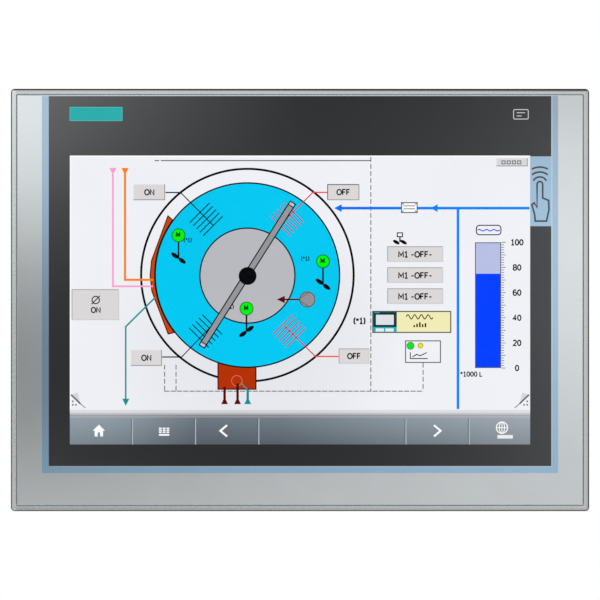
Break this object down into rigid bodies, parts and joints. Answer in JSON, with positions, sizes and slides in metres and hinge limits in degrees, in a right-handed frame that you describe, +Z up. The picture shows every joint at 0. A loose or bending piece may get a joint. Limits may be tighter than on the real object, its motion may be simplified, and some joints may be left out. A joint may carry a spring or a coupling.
{
  "type": "hmi touch panel",
  "caption": "Flush wide-format touch panel for a cabinet door: cast front frame with a raised rim, printed front foil, stepped rear housing with sockets, and hooked mounting clamps.",
  "frame": {"origin": "centre of the touch face, on the front of the printed foil", "axes": "front looks along -Y, +Y into the cabinet, +Z up, +X to the right as seen from the front"},
  "size_m": [0.33, 0.065, 0.241],
  "materials": {
    "bezel": "cast, satin",
    "foil": "printed polyester foil, satin",
    "touch": "clear, lightly matted film",
    "glass": "clear",
    "display": "polarised display glass",
    "guide": "clear acrylic",
    "lamp": "white board",
    "stainless": "bright sheet",
    "galvanised": "zinc-coated sheet",
    "board": "green solder mask",
    "heat_sink": "black anodised",
    "housing": "fine-textured light grey",
    "black_plastic": "moulded",
    "green_plastic": "moulded",
    "seal": "closed-cell foam",
    "label": "printed silver film",
    "flex": "polyimide film",
    "zinc_screw": "zinc-plated",
    "clamp": "die-cast"
  },
  "bodies": {
    "panel": {"bezel_frame": "bezel", "front_foil": "foil", "touch_film": "touch", "touch_glass": "glass", "lcd_cell": "display", "light_guide": "guide", "led_strip": "lamp", "lcd_frame": "stainless", "serial_socket": "stainless", "ethernet_jack": "stainless", "usb_jack": "stainless", "mini_usb_jack": "stainless", "strain_relief_plate": "stainless", "lcd_back_pan": "galvanised", "carrier_plate": "galvanised", "mainboard": "board", "heat_sink": "heat_sink", "rear_housing": "housing", "audio_jack": "black_plastic", "card_reader": "black_plastic", "power_socket": "green_plastic", "mounting_seal": "seal", "display_gasket": "seal", "rating_plate": "label", "display_cable": "flex", "serial_jackscrew_1": "zinc_screw", "serial_jackscrew_2": "zinc_screw", "housing_screw_1": "zinc_screw", "housing_screw_2": "zinc_screw", "housing_screw_3": "zinc_screw", "housing_screw_4": "zinc_screw"},
    "card_cover": {"card_slot_cover": "black_plastic"},
    "power_plug": {"power_plug": "green_plastic"},
    "power_plug_screw_1": {"power_plug_screw_1": "zinc_screw"},
    "power_plug_screw_2": {"power_plug_screw_2": "zinc_screw"},
    "ground_screw": {"ground_screw": "zinc_screw"},
    "clamp_01": {"mounting_clamp_01": "clamp"},
    "clamp_screw_01": {"clamp_screw_01": "zinc_screw"},
    "clamp_02": {"mounting_clamp_02": "clamp"},
    "clamp_screw_02": {"clamp_screw_02": "zinc_screw"},
    "clamp_03": {"mounting_clamp_03": "clamp"},
    "clamp_screw_03": {"clamp_screw_03": "zinc_screw"},
    "clamp_04": {"mounting_clamp_04": "clamp"},
    "clamp_screw_04": {"clamp_screw_04": "zinc_screw"},
    "clamp_05": {"mounting_clamp_05": "clamp"},
    "clamp_screw_05": {"clamp_screw_05": "zinc_screw"},
    "clamp_06": {"mounting_clamp_06": "clamp"},
    "clamp_screw_06": {"clamp_screw_06": "zinc_screw"},
    "clamp_07": {"mounting_clamp_07": "clamp"},
    "clamp_screw_07": {"clamp_screw_07": "zinc_screw"},
    "clamp_08": {"mounting_clamp_08": "clamp"},
    "clamp_screw_08": {"clamp_screw_08": "zinc_screw"},
    "clamp_09": {"mounting_clamp_09": "clamp"},
    "clamp_screw_09": {"clamp_screw_09": "zinc_screw"},
    "clamp_10": {"mounting_clamp_10": "clamp"},
    "clamp_screw_10": {"clamp_screw_10": "zinc_screw"},
    "clamp_11": {"mounting_clamp_11": "clamp"},
    "clamp_screw_11": {"clamp_screw_11": "zinc_screw"},
    "clamp_12": {"mounting_clamp_12": "clamp"},
    "clamp_screw_12": {"clamp_screw_12": "zinc_screw"}
  },
  "joints": [
    {"name": "card_cover_slide", "type": "slide", "parent": "panel", "child": "card_cover", "axis": [0, 0, 1], "range_m": [0, 0.03]},
    {"name": "power_plug_pull", "type": "slide", "parent": "panel", "child": "power_plug", "axis": [0, 0, -1], "range_m": [0, 0.016]},
    {"name": "power_plug_screw_1_turn", "type": "hinge", "parent": "power_plug", "child": "power_plug_screw_1", "pos_m": [0.10846, 0.0421, -0.08], "axis": [0, 1, 0], "range_deg": [0, 810]},
    {"name": "power_plug_screw_2_turn", "type": "hinge", "parent": "power_plug", "child": "power_plug_screw_2", "pos_m": [0.11354, 0.0421, -0.08], "axis": [0, 1, 0], "range_deg": [0, 810]},
    {"name": "ground_screw_turn", "type": "hinge", "parent": "panel", "child": "ground_screw", "pos_m": [0.135, 0.0246, -0.09], "axis": [0, 1, 0], "range_deg": [0, 810]},
    {"name": "clamp_01_unhook", "type": "slide", "parent": "panel", "child": "clamp_01", "axis": [0, -1, 0], "range_m": [0, 0.0018]},
    {"name": "clamp_screw_01_feed", "type": "slide", "parent": "clamp_01", "child": "clamp_screw_01", "axis": [0, -1, 0], "range_m": [-0.003, 0.004]},
    {"name": "clamp_02_unhook", "type": "slide", "parent": "panel", "child": "clamp_02", "axis": [0, -1, 0], "range_m": [0, 0.0018]},
    {"name": "clamp_screw_02_feed", "type": "slide", "parent": "clamp_02", "child": "clamp_screw_02", "axis": [0, -1, 0], "range_m": [-0.003, 0.004]},
    {"name": "clamp_03_unhook", "type": "slide", "parent": "panel", "child": "clamp_03", "axis": [0, -1, 0], "range_m": [0, 0.0018]},
    {"name": "clamp_screw_03_feed", "type": "slide", "parent": "clamp_03", "child": "clamp_screw_03", "axis": [0, -1, 0], "range_m": [-0.003, 0.004]},
    {"name": "clamp_04_unhook", "type": "slide", "parent": "panel", "child": "clamp_04", "axis": [0, -1, 0], "range_m": [0, 0.0018]},
    {"name": "clamp_screw_04_feed", "type": "slide", "parent": "clamp_04", "child": "clamp_screw_04", "axis": [0, -1, 0], "range_m": [-0.003, 0.004]},
    {"name": "clamp_05_unhook", "type": "slide", "parent": "panel", "child": "clamp_05", "axis": [0, -1, 0], "range_m": [0, 0.0018]},
    {"name": "clamp_screw_05_feed", "type": "slide", "parent": "clamp_05", "child": "clamp_screw_05", "axis": [0, -1, 0], "range_m": [-0.003, 0.004]},
    {"name": "clamp_06_unhook", "type": "slide", "parent": "panel", "child": "clamp_06", "axis": [0, -1, 0], "range_m": [0, 0.0018]},
    {"name": "clamp_screw_06_feed", "type": "slide", "parent": "clamp_06", "child": "clamp_screw_06", "axis": [0, -1, 0], "range_m": [-0.003, 0.004]},
    {"name": "clamp_07_unhook", "type": "slide", "parent": "panel", "child": "clamp_07", "axis": [0, -1, 0], "range_m": [0, 0.0018]},
    {"name": "clamp_screw_07_feed", "type": "slide", "parent": "clamp_07", "child": "clamp_screw_07", "axis": [0, -1, 0], "range_m": [-0.003, 0.004]},
    {"name": "clamp_08_unhook", "type": "slide", "parent": "panel", "child": "clamp_08", "axis": [0, -1, 0], "range_m": [0, 0.0018]},
    {"name": "clamp_screw_08_feed", "type": "slide", "parent": "clamp_08", "child": "clamp_screw_08", "axis": [0, -1, 0], "range_m": [-0.003, 0.004]},
    {"name": "clamp_09_unhook", "type": "slide", "parent": "panel", "child": "clamp_09", "axis": [0, -1, 0], "range_m": [0, 0.0018]},
    {"name": "clamp_screw_09_feed", "type": "slide", "parent": "clamp_09", "child": "clamp_screw_09", "axis": [0, -1, 0], "range_m": [-0.003, 0.004]},
    {"name": "clamp_10_unhook", "type": "slide", "parent": "panel", "child": "clamp_10", "axis": [0, -1, 0], "range_m": [0, 0.0018]},
    {"name": "clamp_screw_10_feed", "type": "slide", "parent": "clamp_10", "child": "clamp_screw_10", "axis": [0, -1, 0], "range_m": [-0.003, 0.004]},
    {"name": "clamp_11_unhook", "type": "slide", "parent": "panel", "child": "clamp_11", "axis": [0, -1, 0], "range_m": [0, 0.0018]},
    {"name": "clamp_screw_11_feed", "type": "slide", "parent": "clamp_11", "child": "clamp_screw_11", "axis": [0, -1, 0], "range_m": [-0.003, 0.004]},
    {"name": "clamp_12_unhook", "type": "slide", "parent": "panel", "child": "clamp_12", "axis": [0, -1, 0], "range_m": [0, 0.0018]},
    {"name": "clamp_screw_12_feed", "type": "slide", "parent": "clamp_12", "child": "clamp_screw_12", "axis": [0, -1, 0], "range_m": [-0.003, 0.004]}
  ]
}
